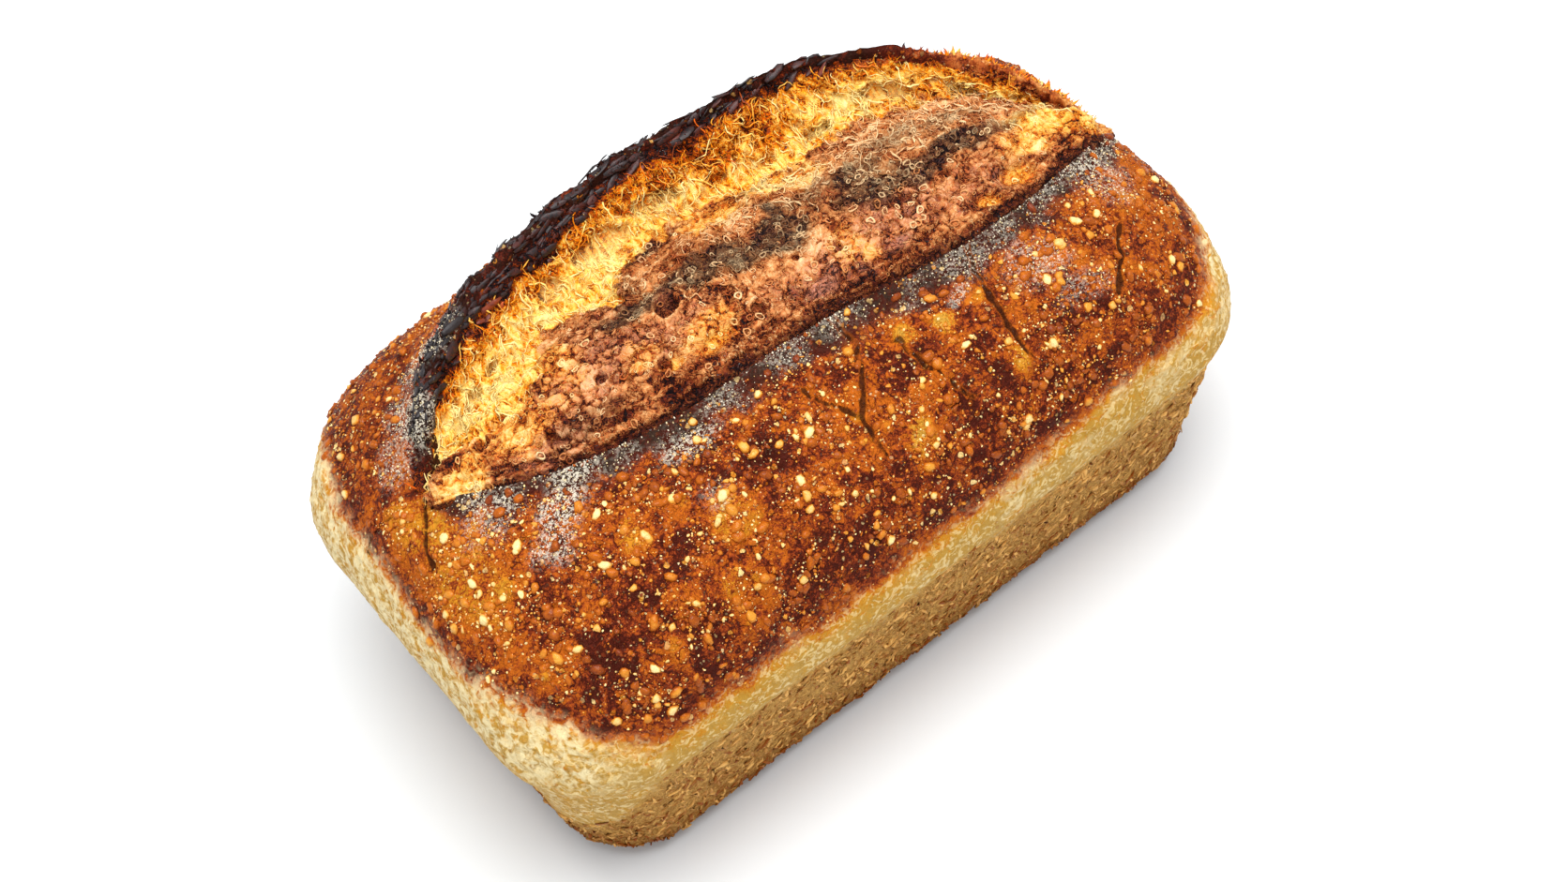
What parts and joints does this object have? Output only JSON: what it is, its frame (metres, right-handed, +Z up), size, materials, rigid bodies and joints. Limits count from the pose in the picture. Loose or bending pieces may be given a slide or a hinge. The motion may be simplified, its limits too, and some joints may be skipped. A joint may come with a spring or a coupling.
{
  "type": "sandwich loaf",
  "caption": "Tin-baked sandwich loaf with tapered sides, a pale band, a domed dark crust and one long burst slash with a raised ear.",
  "frame": {"origin": "middle of the flat base, on the surface the loaf stands on", "axes": "+X along the loaf, +Y across it towards the raised ear, +Z up"},
  "size_m": [0.2404, 0.1496, 0.1197],
  "materials": {
    "crust": "baked crust, satin, mottled dark brown to golden",
    "crumb": "torn golden crumb, matte",
    "flour": "dry flour dust, matte"
  },
  "bodies": {
    "root": {"loaf": "crust"}
  },
  "joints": []
}
